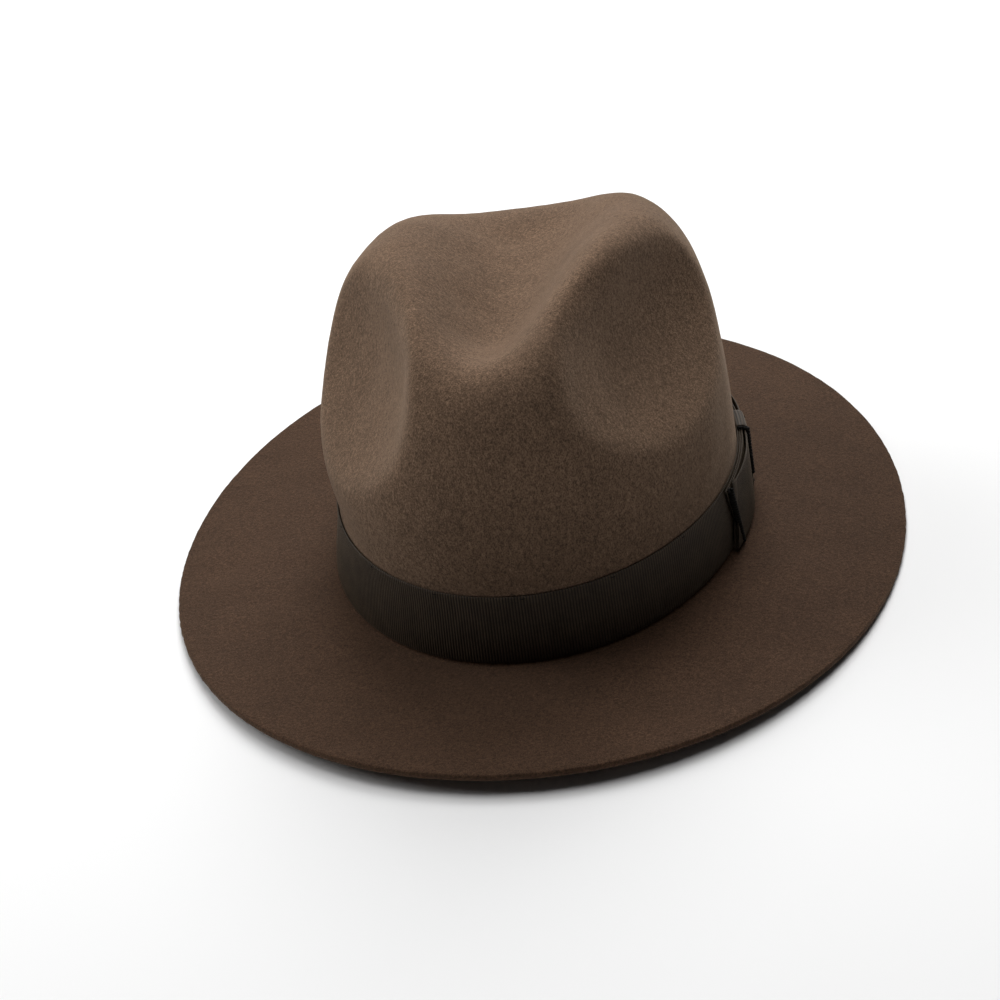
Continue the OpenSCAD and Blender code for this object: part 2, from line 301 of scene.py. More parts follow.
# ---------------------------------------------------------------- meshes
def mesh_piece(name, points, faces, uvs, material, flat=False):
    """A mesh from points in millimetres, with one UV per face corner, in metres."""
    mesh = bpy.data.meshes.new(name)
    mesh.from_pydata((np.asarray(points) * MM).tolist(), [], faces)
    mesh.polygons.foreach_set("use_smooth", np.full(len(mesh.polygons), not flat))
    layer = mesh.uv_layers.new(name="UVMap")
    layer.data.foreach_set("uv", (np.concatenate(uvs) * MM).astype(np.float32).ravel())
    mesh.validate()
    piece = bpy.data.objects.new(name, mesh)
    bpy.context.scene.collection.objects.link(piece)
    mesh.materials.append(material)
    return piece


def quads(rows, cols, wrap_rows, wrap_cols):
    """Faces of a grid, as vertex numbers, and as numbers in the grid of UVs, which never wraps."""
    r = np.arange(rows if wrap_rows else rows - 1)[:, None]
    c = np.arange(cols if wrap_cols else cols - 1)[None, :]
    corners = [(r, c), (r, c + 1), (r + 1, c + 1), (r + 1, c)]
    faces = np.stack([(i % rows) * cols + j % cols for i, j in corners], -1).reshape(-1, 4)
    uv_faces = np.stack([i * (cols + 1) + j for i, j in corners], -1).reshape(-1, 4)
    return faces, uv_faces


def loft(name, grid, material, wrap_rows=False, wrap_cols=False, caps=False, flat=False):
    """A skin over a grid of points. Its UVs are lengths along the rows and columns."""
    grid = np.asarray(grid, float)
    rows, cols = grid.shape[:2]
    faces, uv_faces = quads(rows, cols, wrap_rows, wrap_cols)
    down = np.linalg.norm(np.roll(grid, -1, 0) - grid, axis=-1).mean(1)
    over = np.linalg.norm(np.roll(grid, -1, 1) - grid, axis=-1).mean(0)
    u = np.concatenate([[0], np.cumsum(over)])
    v = np.concatenate([[0], np.cumsum(down)])
    uv_grid = np.stack(np.meshgrid(u, v), -1).reshape(-1, 2)
    all_faces = faces.tolist()
    uvs = [uv_grid[uv_faces.ravel()]]
    if caps:
        ends = [list(range(cols))[::-1], [(rows - 1) * cols + j for j in range(cols)]]
        for row, end in zip((0, rows), ends):
            all_faces.append(end)
            corners = [(row * (cols + 1)) + e % cols for e in end]
            uvs.append(uv_grid[corners])
    return mesh_piece(name, grid.reshape(-1, 3), all_faces, uvs, material, flat)


def dome(name, grid, material, poles):
    """A closed skin over a grid whose rows run round the hat, with a point at each end."""
    rows, cols = grid.shape[:2]
    faces, uv_faces = quads(rows, cols, False, True)
    down = np.linalg.norm(np.diff(grid, axis=0), axis=-1).mean(1)
    v = np.concatenate([[0], np.cumsum(down)])
    u = np.linspace(0, ROUND, cols + 1)
    uv_grid = np.stack(np.meshgrid(u, v), -1).reshape(-1, 2)
    first, last = rows * cols, rows * cols + 1
    ring = np.arange(cols)
    after = (ring + 1) % cols
    base = (rows - 1) * cols
    low = np.stack([after, ring, np.full(cols, first)], -1)
    high = np.stack([base + ring, base + after, np.full(cols, last)], -1)
    uv_low = np.stack([ring + 1, ring, ring], -1)
    uv_high = (rows - 1) * (cols + 1) + np.stack([ring, ring + 1, ring], -1)
    points = np.concatenate([grid.reshape(-1, 3), poles])
    uvs = [uv_grid[f.ravel()] for f in (uv_faces, uv_low, uv_high)]
    return mesh_piece(name, points, faces.tolist() + low.tolist() + high.tolist(), uvs, material)


ASKEW = (0.13, 0.21, 0.97)  # crossed with a tube's direction to find its side


def tube(name, line, radius, material, closed=False, sides=10, tip=0):
    """A round tube along a line of points, with its ends thinner by the fraction tip."""
    line = np.asarray(line, float)
    ahead = np.roll(line, -1, 0) - np.roll(line, 1, 0)
    if not closed:
        ahead[0], ahead[-1] = line[1] - line[0], line[-1] - line[-2]
    ahead = unit(ahead)
    side = unit(np.cross(ahead, ASKEW))
    up = np.cross(side, ahead)
    turn = np.linspace(0, 2 * math.pi, sides, endpoint=False)
    size = np.full(len(line), float(radius))
    if tip:
        size[[0, -1]] *= 1 - tip
    ring = side[:, None] * np.cos(turn)[:, None] + up[:, None] * np.sin(turn)[:, None]
    grid = line[:, None] + size[:, None, None] * ring
    return loft(name, grid, material, wrap_rows=closed, wrap_cols=True, caps=not closed)


def join(name, pieces):
    """One object from several."""
    bpy.ops.object.select_all(action="DESELECT")
    for piece in pieces:
        piece.select_set(True)
    bpy.context.view_layer.objects.active = pieces[0]
    bpy.ops.object.join()
    pieces[0].name = name
    pieces[0].data.name = name
    return pieces[0]


def mark(piece, name, values):
    """A named number on each of a piece's points, for its material."""
    layer = piece.data.attributes.new(name, "FLOAT", "POINT")
    layer.data.foreach_set("value", np.asarray(values, np.float32))


def place(piece, slot, *nodes):
    """The piece rides on the hat and stands for CAD nodes."""
    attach(piece, "root")
    if nodes:
        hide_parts(*nodes)
    return piece


# ---------------------------------------------------------------- materials
def new_material(name, colour, roughness, **sockets):
    """A Principled material and its node tree."""
    material = bpy.data.materials.new(name)
    material.use_nodes = True
    tree = material.node_tree
    shader = tree.nodes["Principled BSDF"]
    shader.inputs["Base Color"].default_value = (*colour, 1)
    shader.inputs["Roughness"].default_value = roughness
    for socket, value in sockets.items():
        shader.inputs[socket.replace("_", " ")].default_value = value
    return material, tree, shader


def coordinates(tree, kind="Object", stretch=(1, 1, 1)):
    """Texture coordinates, stretched along each axis."""
    source = tree.nodes.new("ShaderNodeTexCoord").outputs[kind]
    mapping = tree.nodes.new("ShaderNodeMapping")
    mapping.inputs["Scale"].default_value = stretch
    tree.links.new(source, mapping.inputs["Vector"])
    return mapping.outputs["Vector"]


def noise(tree, where, size, detail=3, roughness=0.55, distortion=0.0):
    """Noise with features about size millimetres across."""
    node = tree.nodes.new("ShaderNodeTexNoise")
    node.inputs["Scale"].default_value = 1 / (size * MM)
    node.inputs["Detail"].default_value = detail
    node.inputs["Roughness"].default_value = roughness
    node.inputs["Distortion"].default_value = distortion
    tree.links.new(where, node.inputs["Vector"])
    return node.outputs["Fac"]


def spread(tree, value, low, high, to_low=0.0, to_high=1.0):
    """A value stretched from one range to another, and clamped."""
    node = tree.nodes.new("ShaderNodeMapRange")
    numbers = {"From Min": low, "From Max": high, "To Min": to_low, "To Max": to_high}
    for socket, number in numbers.items():
        node.inputs[socket].default_value = number
    tree.links.new(value, node.inputs["Value"])
    return node.outputs["Result"]


def vary(tree, pattern, low, high):
    """A noise pattern, most of which lies between 0.3 and 0.7, stretched from low to high."""
    return spread(tree, pattern, 0.3, 0.7, low, high)


def put(tree, value, socket):
    """A number, a colour or a node's output, into a socket."""
    if isinstance(value, bpy.types.NodeSocket):
        tree.links.new(value, socket)
    elif isinstance(value, tuple):
        socket.default_value = (*value, 1)
    else:
        socket.default_value = value


def blend_colour(tree, factor, first, second, mode="MIX"):
    """One colour over another."""
    node = tree.nodes.new("ShaderNodeMix")
    node.data_type, node.blend_type = "RGBA", mode
    put(tree, factor, node.inputs[0])
    put(tree, first, node.inputs[6])
    put(tree, second, node.inputs[7])
    return node.outputs[2]


def combine(tree, operation, first, second):
    """Arithmetic on two values."""
    node = tree.nodes.new("ShaderNodeMath")
    node.operation = operation
    put(tree, first, node.inputs[0])
    put(tree, second, node.inputs[1])
    return node.outputs[0]


def times(tree, first, second):
    """The product of two values."""
    return combine(tree, "MULTIPLY", first, second)


def toned(tree, colour, tone):
    """A colour made darker or lighter by a value."""
    grey = tree.nodes.new("ShaderNodeCombineColor")
    for channel in grey.inputs:
        tree.links.new(tone, channel)
    return blend_colour(tree, 1.0, colour, grey.outputs[0], "MULTIPLY")


def bump(tree, height, distance, strength=1.0, under=None):
    """A bump as high as distance, in millimetres."""
    node = tree.nodes.new("ShaderNodeBump")
    node.inputs["Distance"].default_value = distance * MM
    node.inputs["Strength"].default_value = strength
    tree.links.new(height, node.inputs["Height"])
    if under is not None:
        tree.links.new(under, node.inputs["Normal"])
    return node.outputs["Normal"]


def felt_material():
    """Brushed wool felt: blotches, short fibres that lie down the crown, and a soft bloom."""
    crown_colour, brim_colour = (0.126, 0.0795, 0.051), (0.050, 0.0268, 0.0158)
    material, tree, shader = new_material(
        "felt", crown_colour, 0.95, Sheen_Weight=0.18, Sheen_Roughness=0.45, Specular_IOR_Level=0.12
    )
    shader.inputs["Sheen Tint"].default_value = (0.85, 0.64, 0.46, 1)
    place_at = coordinates(tree)
    streaks = coordinates(tree, stretch=(1, 1, 0.65))
    part = tree.nodes.new("ShaderNodeAttribute")
    part.attribute_name = "on_crown"
    # The brim's felt is coloured darker than the crown's, about two fifths as bright, and it changes over
    # just above the bend.
    ground = blend_colour(tree, part.outputs["Fac"], brim_colour, crown_colour)
    blotch = noise(tree, place_at, 28, 4, 0.6)
    grain = noise(tree, streaks, 1.3, 4, 0.7, 0.6)
    fleck = noise(tree, streaks, 0.5, 2, 0.6)
    cloudy = vary(tree, blotch, 0.9, 1.1)
    grainy = vary(tree, grain, 0.55, 1.45)
    flecked = vary(tree, fleck, 0.5, 1.5)
    shade = times(tree, times(tree, cloudy, grainy), flecked)
    tree.links.new(toned(tree, ground, shade), shader.inputs["Base Color"])
    soft = bump(tree, blotch, 0.5, 0.25)
    rough = bump(tree, grain, 0.35, 0.6, soft)
    tree.links.new(bump(tree, fleck, 0.12, 0.5, rough), shader.inputs["Normal"])
    return material


def ribbon_material(name="ribbon", colour=(0.0215, 0.015, 0.0098), shade_ribs=True):
    """Grosgrain yarn: the ribs are in the mesh, and this is the fine warp that crosses them. On ribbed
    pieces the colour also carries painted shade in the grooves between the ribs and a painted highlight
    on their crests.
    """
    material, tree, shader = new_material(
        name, colour, 0.62, Sheen_Weight=0.12, Sheen_Roughness=0.4, Specular_IOR_Level=0.2
    )
    shader.inputs["Sheen Tint"].default_value = (0.8, 0.62, 0.4, 1)
    where = coordinates(tree, "UV")
    yarn = noise(tree, coordinates(tree, "UV", (0.3, 1, 1)), 0.3, 2)
    cloudy = noise(tree, where, 9, 3)
    tone = times(tree, vary(tree, cloudy, 0.8, 1.2), vary(tree, yarn, 0.75, 1.25))
    if shade_ribs:
        rib = tree.nodes.new("ShaderNodeAttribute")
        rib.attribute_name = "rib"
        # Painted shade and highlight: the colour falls to a quarter in the grooves between the ribs and
        # rises to 2.6 times on their crests.
        tone = times(tree, tone, spread(tree, rib.outputs["Fac"], 0.3, 1.0, 0.25, 2.6))
    tree.links.new(toned(tree, colour, tone), shader.inputs["Base Color"])
    tree.links.new(bump(tree, yarn, 0.08, 0.6), shader.inputs["Normal"])
    return material


def thread_material(name, colour):
    """Twisted thread."""
    material, tree, shader = new_material(name, colour, 0.85, Specular_IOR_Level=0.15)
    twist = noise(tree, coordinates(tree, stretch=(1, 1, 0.4)), 0.3, 2)
    shade = vary(tree, twist, 0.6, 1.3)
    tree.links.new(toned(tree, colour, shade), shader.inputs["Base Color"])
    tree.links.new(bump(tree, twist, 0.1, 0.7), shader.inputs["Normal"])
    return material


def leather_material(name, colour):
    """Smooth sheepskin: a fine pebbled grain, with painted shade in the creases between the pebbles."""
    material, tree, shader = new_material(name, colour, 0.45, Specular_IOR_Level=0.4, Coat_Weight=0.08)
    where = coordinates(tree)
    cells = tree.nodes.new("ShaderNodeTexVoronoi")
    cells.feature = "DISTANCE_TO_EDGE"
    cells.inputs["Scale"].default_value = 1 / (0.9 * MM)
    tree.links.new(where, cells.inputs["Vector"])
    pebble = spread(tree, cells.outputs["Distance"], 0.0, 0.25)
    patch = noise(tree, where, 12, 4)
    dark = tuple(0.6 * c for c in colour)
    light = tuple(1.25 * c for c in colour)
    ground = blend_colour(tree, spread(tree, patch, 0.35, 0.65), dark, light)
    # Painted shade: the colour goes down to the dark tone in the creases between the pebbles, where the
    # bump is lowest.
    colour_out = blend_colour(tree, pebble, dark, ground)
    tree.links.new(colour_out, shader.inputs["Base Color"])
    tree.links.new(vary(tree, patch, 0.38, 0.55), shader.inputs["Roughness"])
    tree.links.new(bump(tree, pebble, 0.12, 0.7), shader.inputs["Normal"])
    return material


def satin_material(name, colour):
    """Satin lining: a fine weave with a long, soft shine."""
    material, tree, shader = new_material(
        name, colour, 0.34, Specular_IOR_Level=0.6, Sheen_Weight=0.3, Sheen_Roughness=0.3, Anisotropic=0.5
    )
    weave = noise(tree, coordinates(tree, "UV", (1, 0.12, 1)), 0.25, 2)
    soft = noise(tree, coordinates(tree), 14, 3)
    tone = vary(tree, weave, 0.82, 1.18)
    tree.links.new(toned(tree, colour, tone), shader.inputs["Base Color"])
    tree.links.new(bump(tree, weave, 0.04, 0.5, bump(tree, soft, 0.6, 0.3)), shader.inputs["Normal"])
    return material


felt_look = felt_material()
ribbon_look = ribbon_material()
thread_look = thread_material("dark_thread", (0.006, 0.005, 0.004))
pale_look = thread_material("pale_thread", (0.42, 0.33, 0.2))
leather_look = leather_material("leather", (0.12, 0.058, 0.028))
strip_look = leather_material("leather_strip", (0.085, 0.04, 0.02))
satin_look = satin_material("satin", (0.05, 0.036, 0.028))
piping_look = satin_material("piping_satin", (0.02, 0.015, 0.012))
tape_look = ribbon_material("tape", (0.028, 0.023, 0.02), shade_ribs=False)
tag_look = thread_material("tag_cloth", (0.7, 0.66, 0.56))
reed_look = new_material("reed_plastic", (0.62, 0.58, 0.48), 0.5)[0]


# ---------------------------------------------------------------- felt
AROUND = 432
angles = np.linspace(0, 2 * math.pi, AROUND, endpoint=False)[None, :]


def profile(brim_rows, bend_rows, bend_end, crown_rows, crown_end):
    """Values of v from the brim's edge nearly to the middle of the crown's top."""
    on_brim = np.linspace(0, 0.97, brim_rows)
    on_bend = np.linspace(1, bend_end, bend_rows)
    on_crown = 2 + np.linspace(0, 1, crown_rows)[:-1] ** 0.9 * crown_end
    return np.concatenate([on_brim, on_bend, on_crown])[:, None]


def felt_shell():
    """The crown and brim: outer face, cut edge and inner face, as one closed skin."""
    top_v = profile(34, 8, 1.95, 150, 0.996)
    low_v = profile(24, 5, 1.9, 90, 0.993)
    top, under = skin(angles, top_v), skin(angles, low_v)
    top_n, under_n = normal(angles, top_v), normal(angles, low_v)
    under = under - FELT * under_n
    over_band = ease((top[..., 2] - break_at(angles) - BAND_H - FILLET - 2) / 10)
    relief = 0.22 * waves(top, 30, SEED) + 0.05 * waves(top, 7, SEED + 1)
    top = top + ((over_band + 0.4 * (top_v < 1)) * relief)[..., None] * top_n
    mid = (top[0] + under[0]) / 2
    half = (top[0] - under[0]) / 2
    n = outward(angles[0])
    out = np.concatenate([n, np.zeros((AROUND, 1))], -1)
    rough = 1 + 0.25 * waves(mid, 4, SEED + 2)[:, None]
    nose = [
        mid + half * math.cos(t) + EDGE_BULGE * math.sin(t) ** 0.5 * out * rough
        for t in np.radians([160, 125, 90, 55, 20])
    ]
    grid = np.concatenate([under[::-1], np.array(nose), top])
    poles = np.array([under[-1].mean(0), top[-1].mean(0)])
    piece = dome("felt_shell", grid, felt_look, poles)
    heights = grid[..., 2].reshape(-1)
    on_crown = np.concatenate([ease((heights - BREAK_Z - LEFT_RISE - FILLET) / 6), [1, 1]])
    mark(piece, "on_crown", on_crown)
    return place(piece, "felt", "felt_body")


felt = felt_shell()


# ---------------------------------------------------------------- ribbon
RIB_PITCH = 1.2
RIB_HIGH = 0.2
RIB_SAMPLES = 6  # points along each rib's pitch
EDGE_ROWS = np.array([0, 0.25, 0.8, 1.6])  # points in from each edge, across the ribbon


def ribbon(name, where, path, low, high, material, slant=None, closed=False, scale=1.0):
    """A ribbon with ribs, along a path of (along, out) points.

    where(along, across, out) gives a point of the hat, and low and high are the
    ribbon's edges across it. slant(s) shears a cut end, in millimetres along.
    scale makes the ribbon and its ribs thinner. Returns it and its length.
    """
    path = np.asarray(path, float)
    pitch, high_rib, thick = RIB_PITCH * scale, RIB_HIGH * scale, RIBBON * scale
    gaps = np.linalg.norm(np.diff(path, axis=0), axis=1)
    s_path = np.concatenate([[0], np.cumsum(gaps)])
    length = s_path[-1]
    count = max(2, round(length / pitch)) * RIB_SAMPLES
    s = np.linspace(0, length, count, endpoint=not closed)
    line = np.stack([np.interp(s, s_path, path[:, k]) for k in (0, 1)], -1)
    ahead = np.tile([1.0, 0.0], (count, 1))
    if not closed:
        ahead = unit(np.gradient(line, axis=0))
    away = np.stack([-ahead[:, 1], ahead[:, 0]], -1)
    width = high - low
    rows = EDGE_ROWS * scale
    middle = np.linspace(rows[-1], width - rows[-1], 5)[1:-1]
    across = np.concatenate([rows, middle, (width - rows)[::-1]])
    near_edge = np.minimum(across, width - across) / scale
    half = thick / 2 * (0.55 + 0.45 * ease(near_edge / 0.5)) - high_rib / 2
    ribs = high_rib * (np.abs(np.sin(math.pi * s / pitch)) ** 0.6 * 2 - 1)
    relief = ribs[:, None] * (0.4 + 0.6 * ease(near_edge / 1.2))[None, :]
    shear = np.zeros(count) if slant is None else slant(s)
    lean = shear[:, None] * (across / width - 0.5)[None, :]
    faces = []
    for side in (1, -1):
        off = side * (half[None, :] + relief)
        along = line[:, :1] + away[:, :1] * off + lean * ahead[:, :1]
        out = line[:, 1:] + away[:, 1:] * off
        faces.append(where(along, low + across[None, :] + 0 * along, out))
    grid = np.concatenate([faces[0], faces[1][:, ::-1]], 1)
    piece = loft(name, grid, material, wrap_rows=closed, wrap_cols=True, caps=not closed)
    # The ribs' heights, from which the ribbon's material paints shade in the grooves and a highlight on
    # the crests.
    mark(piece, "rib", np.repeat((ribs / high_rib + 1) / 2, grid.shape[1]))
    return piece, length


def round_hat(along, across, out):
    """Ribbon that runs round the crown: along the oval, with its edges up and down."""
    return wall(angle_at(along), across, out)


def in_hat(along, across, out):
    """The same on the inner face of the sweatband, where out runs inwards."""
    return wall(angle_at(along), across, -SWEAT_IN - out)


def u_turn(start, fold, inner, outer, belly, steps=48):
    """A flattened loop: out from start to its fold, round it, and back over itself."""
    way = math.copysign(1, fold - start)
    radius = (outer - inner) / 2
    centre = fold - way * radius
    t = np.linspace(0, 1, steps)
    under = np.stack([start + (centre - start) * t, np.full(steps, inner)], -1)
    turn = np.linspace(-math.pi / 2, math.pi / 2, 14)[1:-1]
    fold_x = centre + way * radius * np.cos(turn)
    round_fold = np.stack([fold_x, inner + radius * (1 + np.sin(turn))], -1)
    swell = belly * np.sin(math.pi * t) ** 1.2
    over = np.stack([centre + (start - centre) * t, outer + swell], -1)
    return np.concatenate([under, round_fold, over])


BAND_LOW, BAND_TOP = FILLET, FILLET + BAND_H
BAND_MID = BAND_IN + RIBBON / 2
band, band_len = ribbon(
    "band", round_hat, [(0, BAND_MID), (ROUND, BAND_MID)], BAND_LOW, BAND_TOP, ribbon_look, closed=True
)
place(band, "ribbon", "ribbon_band")

# The bow, flat against the band: a slanted tail, two folded loops and a keeper
BOW_FRONT, BOW_MID, BOW_END = (arc_at(math.radians(d)) for d in (-13, 16, 41))
TAIL_OUT = 1.5
LOOP_INNER, LOOP_OUTER, LOOP_BELLY = 2.4, 3.5, 0.8
END_SLANT = 9.0
SLANT_FROM, SLANT_OVER = 22, 20  # where a tail end's slant starts, and how long it grows
FOLD_REACH = 9  # how far from its fold a loop slants
KEEPER_HALF = 6.6  # half the keeper's width


def tail():
    """The bow's layer against the band, with its ends slanted and lifted a little."""
    lifted = TAIL_OUT + 0.5
    path = [
        (BOW_FRONT - 1, lifted), (BOW_FRONT + 8, TAIL_OUT),
        (BOW_END - 8, TAIL_OUT), (BOW_END + 2, lifted),
    ]
    length = BOW_END - BOW_FRONT

    def slant(s):
        """The shear at length s, which grows towards both ends."""
        at_end = ease((s - length + SLANT_FROM) / SLANT_OVER)
        return END_SLANT * (at_end - ease((SLANT_FROM - s) / SLANT_OVER))

    piece, cut = ribbon("bow_under", round_hat, path, BAND_LOW + 0.4, BAND_TOP - 0.4, ribbon_look, slant)
    place(piece, "ribbon", "bow_tail")
    return piece


def loop(name, node, fold, way):
    """A folded loop of the bow, from its middle to its fold and back over itself."""
    path = u_turn(BOW_MID + way * 0.4, fold, LOOP_INNER, LOOP_OUTER, LOOP_BELLY)
    length = abs(fold - BOW_MID) * 2

    def slant(s):
        """The shear at length s, near the fold, where the ribbon turns back."""
        near_fold = np.exp(-(((s - length / 2) / FOLD_REACH) ** 2))
        return way * END_SLANT * near_fold * np.where(s < length / 2, 1, -1)

    piece, cut = ribbon(name, round_hat, path, BAND_LOW + 0.2, BAND_TOP - 0.2, ribbon_look, slant)
    place(piece, "ribbon", node)
    return piece


def keeper():
    """The strip that wraps the bow's middle, with both ends tucked in behind the band."""

    def up_hat(along, across, out):
        """Ribbon that runs up the crown, a tenth narrower at the middle of the band."""
        narrower = 1 - 0.1 * np.sin(math.pi * (along - BAND_LOW) / BAND_H)
        return wall(angle_at(BOW_MID + (across - BOW_MID) * narrower), along, out)

    below = [
        (BAND_LOW + 2.5, 0.6), (BAND_LOW - 0.2, 0.8), (BAND_LOW - 0.7, 1.4),
        (BAND_LOW - 0.7, 3.4), (BAND_LOW - 0.1, 4.2), (BAND_LOW + 1.2, 4.6),
    ]
    above = [
        (BAND_TOP - 1.2, 4.6), (BAND_TOP + 0.2, 4.2), (BAND_TOP + 0.8, 3.4),
        (BAND_TOP + 0.8, 1.4), (BAND_TOP + 0.3, 0.8), (BAND_TOP - 2.5, 0.6),
    ]
    path = below + [(BAND_LOW + BAND_H / 2, 4.8)] + above
    edges = BOW_MID - KEEPER_HALF, BOW_MID + KEEPER_HALF
    piece, cut = ribbon("bow_wrap", up_hat, path[::-1], *edges, ribbon_look)
    place(piece, "ribbon", "bow_keeper")
    return piece


under = tail()
front_loop = loop("bow_loop_a", "bow_loop_front", BOW_FRONT + 0.5, -1)
back_loop = loop("bow_loop_b", "bow_loop_back", BOW_END - 0.5, 1)
wrap = keeper()


# ---------------------------------------------------------------- thread
def overcast(name, where, start, end, out, reach, radius, pitch, seed):
    """Thread whipped over an edge from start to end, each an (along, across) point."""
    start, end = np.array(start, float), np.array(end, float)
    length = np.linalg.norm(end - start)
    turns = length / pitch
    t = np.linspace(0, 1, int(turns * 10))
    rng = np.random.default_rng(seed)
    knots = int(turns) + 2
    loose = np.interp(t * turns, np.arange(knots), rng.uniform(0.7, 1.25, knots))
    phase = 2 * math.pi * turns * t
    at = start + (end - start) * t[:, None]
    along = at[:, 0] + reach[0] * loose * np.cos(phase)
    outs = out + reach[1] * np.sin(phase)
    return tube(name, where(along, at[:, 1], outs), radius, thread_look, sides=6)


def stitch(where, along, across, out, over, up, radius, look, rise=0.25):
    """One short stitch, arched off the surface, that runs over and up from its first end."""
    t = np.linspace(0, 1, 7)
    arch = out + rise * np.sin(math.pi * t) - 0.5 * radius
    line = where(along + over * t, across + up * t, arch)
    return tube("stitch", line, radius, look, sides=6, tip=0.5)


def stitches(name, slot, made, *nodes):
    """Joins the stitches of one seam, which stand for the nodes named, if any."""
    place(join(name, made), slot, *nodes)


def bow_threads():
    """The thread whipped over the bow's front end and its keeper's edge, and the tacks."""
    tie = BOW_MID - 8
    ends = [
        overcast(
            "whip", round_hat, (BOW_FRONT + 3.6, BAND_LOW), (BOW_FRONT - 3.4, BAND_TOP - 0.3),
            out=3.3, reach=(0.7, 0.9), radius=0.75, pitch=1.5, seed=SEED,
        ),
        overcast(
            "whip", round_hat, (BOW_MID - 6, BAND_LOW + 7), (tie, BAND_TOP + 0.4),
            out=4.5, reach=(0.7, 0.8), radius=0.85, pitch=1.7, seed=SEED + 1,
        ),
        tube(
            "end", round_hat(tie, BAND_TOP + 0.6, np.linspace(0.6, 5, 12)), 0.6, thread_look,
            sides=8, tip=0.4,
        ),
    ]
    place(join("bow_edge_thread", ends), "thread")
    made = [
        stitch(
            round_hat, BOW_MID + side * 4.5 - 0.9, z,
            out=5.2, over=1.8, up=0.3, radius=0.22, look=thread_look,
        )
        for side in (-1, 1) for z in (BAND_LOW + 2, BAND_TOP - 2)
    ]
    stitches("bow_stitches", "thread", made, "bow_tacks")


def band_threads():
    """The small tacks along the band's top edge, clear of the bow."""
    spots = np.linspace(arc_at(math.radians(75)), arc_at(math.radians(345)), 13)
    made = [
        stitch(
            round_hat, s, BAND_TOP - 1.2,
            out=BAND_OUT + 0.05, over=1.9, up=0.1, radius=0.16, look=thread_look,
        )
        for s in spots
    ]
    stitches("band_stitches", "thread", made, "band_tacks")


bow_threads()
band_threads()

# ---------------------------------------------------------------- sweatband
SWEAT_LOW, SWEAT_H = -1.0, 34.0
SWEAT_TOP = SWEAT_LOW + SWEAT_H
TAPE_R = 1.2
TAPE_Z = SWEAT_LOW - TAPE_R - 0.1
STITCH_PITCH = 4.2
BACK = arc_at(math.pi / 2)
round_arcs = np.linspace(0, ROUND, 361)[:-1]


def sweatband():
    """The leather band: rounded edges, and a top edge that waves a little."""
    t = np.concatenate([[0, 0.004, 0.015], np.linspace(0.05, 0.95, 14), [0.985, 0.996, 1]])
    half = LEATHER / 2 * np.minimum(1, 0.45 + 60 * np.minimum(t, 1 - t)) * (1 - 0.25 * t)
    mid = -(SWEAT_OUT + SWEAT_IN) / 2 - 0.35 * np.sin(math.pi * t) ** 2
    a = angle_at(round_arcs)[:, None]
    wave = waves(np.stack([np.cos(a), np.sin(a), 0 * a], -1) * 90, 60, SEED + 5)
    top = SWEAT_TOP + 0.5 * wave
    z = SWEAT_LOW + (top - SWEAT_LOW) * t[None, :]
    ease_off = 0.3 * wave * t[None, :] ** 2
    outer = wall(a, z, (mid + half)[None, :] + ease_off)
    inner = wall(a, z, (mid - half)[None, :] + ease_off)
    grid = np.concatenate([outer, inner[:, ::-1]], 1)
    piece = loft("leather_band", grid, leather_look, wrap_rows=True, wrap_cols=True)
    place(piece, "leather", "sweatband")
    return piece


def plate(name, where, along, across, out, thick, material, round_off=0.8):
    """A thin pad with rounded edges: along and across are (low, high), out its inner face."""
    t = np.linspace(0, 1, 25)
    length, width = along[1] - along[0], across[1] - across[0]
    x = along[0] + length * t[:, None]
    z = across[0] + width * t[None, :]
    in_from_end = np.minimum(t, 1 - t)
    to_edge = np.minimum.outer(in_from_end * abs(length), in_from_end * width)
    rise = thick * np.sqrt(np.clip(1 - (1 - np.clip(to_edge / round_off, 0, 1)) ** 2, 0, 1))
    top = where(x, z, out + rise)
    low = where(x, z, out + 0 * rise)
    grid = np.concatenate([top, low[:, ::-1]], 1)
    return loft(name, grid, material, wrap_cols=True, caps=True)


def sweatband_details():
    """The tape round the reed, the join at the back and the rows of stitches."""
    tape_line = wall(angle_at(round_arcs), TAPE_Z, -(SWEAT_OUT + SWEAT_IN) / 2)
    tape = tube("reed_cover", tape_line, TAPE_R, tape_look, closed=True, sides=14)
    place(tape, "tape", "reed_tape")
    seam = plate(
        "leather_join", in_hat, (BACK - 5, BACK + 5), (SWEAT_LOW + 5, SWEAT_TOP - 1),
        out=-0.15, thick=0.7, material=strip_look,
    )
    place(seam, "leather_seam", "sweatband_seam")
    count = round(ROUND / STITCH_PITCH)
    spots = np.arange(count) * ROUND / count
    run = [
        stitch(in_hat, s, SWEAT_LOW + 3, out=0.35, over=2.9, up=0, radius=0.25, look=pale_look)
        for s in spots
    ]
    whip = [
        stitch(in_hat, s, TAPE_Z - 0.3, out=0.2, over=1.6, up=2.2, radius=0.2, look=pale_look, rise=0.5)
        for s in spots
    ]
    stitches("leather_stitches", "pale_thread", run + whip, "sweatband_stitches")
    zigzag = [
        stitch(
            in_hat, BACK + side * 3.6 - 0.7, z,
            out=0.75, over=1.4, up=0.5 * side, radius=0.16, look=pale_look,
        )
        for side in (-1, 1) for z in np.arange(SWEAT_LOW + 6, SWEAT_TOP - 2, 1.7)
    ]
    stitches("join_stitches", "pale_thread", zigzag)


